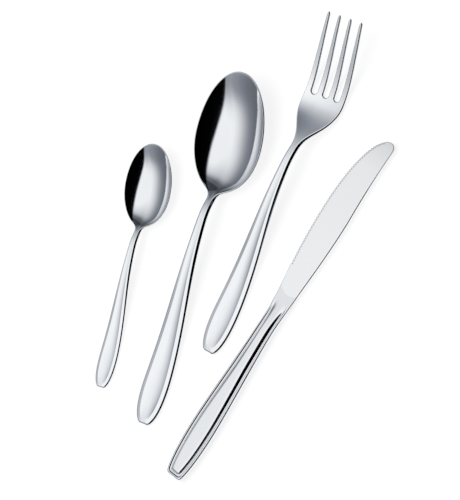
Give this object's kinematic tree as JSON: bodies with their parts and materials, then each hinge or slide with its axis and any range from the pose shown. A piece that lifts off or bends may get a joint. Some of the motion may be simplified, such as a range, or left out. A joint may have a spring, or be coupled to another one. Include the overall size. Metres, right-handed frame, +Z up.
{
  "type": "cutlery set",
  "caption": "Polished stainless-steel table cutlery laid out flat: teaspoon, table spoon, table fork and solid table knife with a toothed edge.",
  "frame": {"origin": "middle of the laid-out set, on the table that it lies on", "axes": "+Z up from the table, +Y from the handles towards the bowls, tines and blade, +X across the set from the teaspoon to the knife"},
  "size_m": [0.182, 0.2518, 0.0194],
  "materials": {
    "spoon_steel": "mirror-polished stainless steel",
    "fork_steel": "mirror-polished stainless steel, softer on the palm and tines",
    "knife_steel": "polished stainless steel with a satin-ground blade"
  },
  "bodies": {
    "root": {"teaspoon": "spoon_steel", "table_spoon": "spoon_steel", "table_fork": "fork_steel", "table_knife": "knife_steel"}
  },
  "joints": []
}
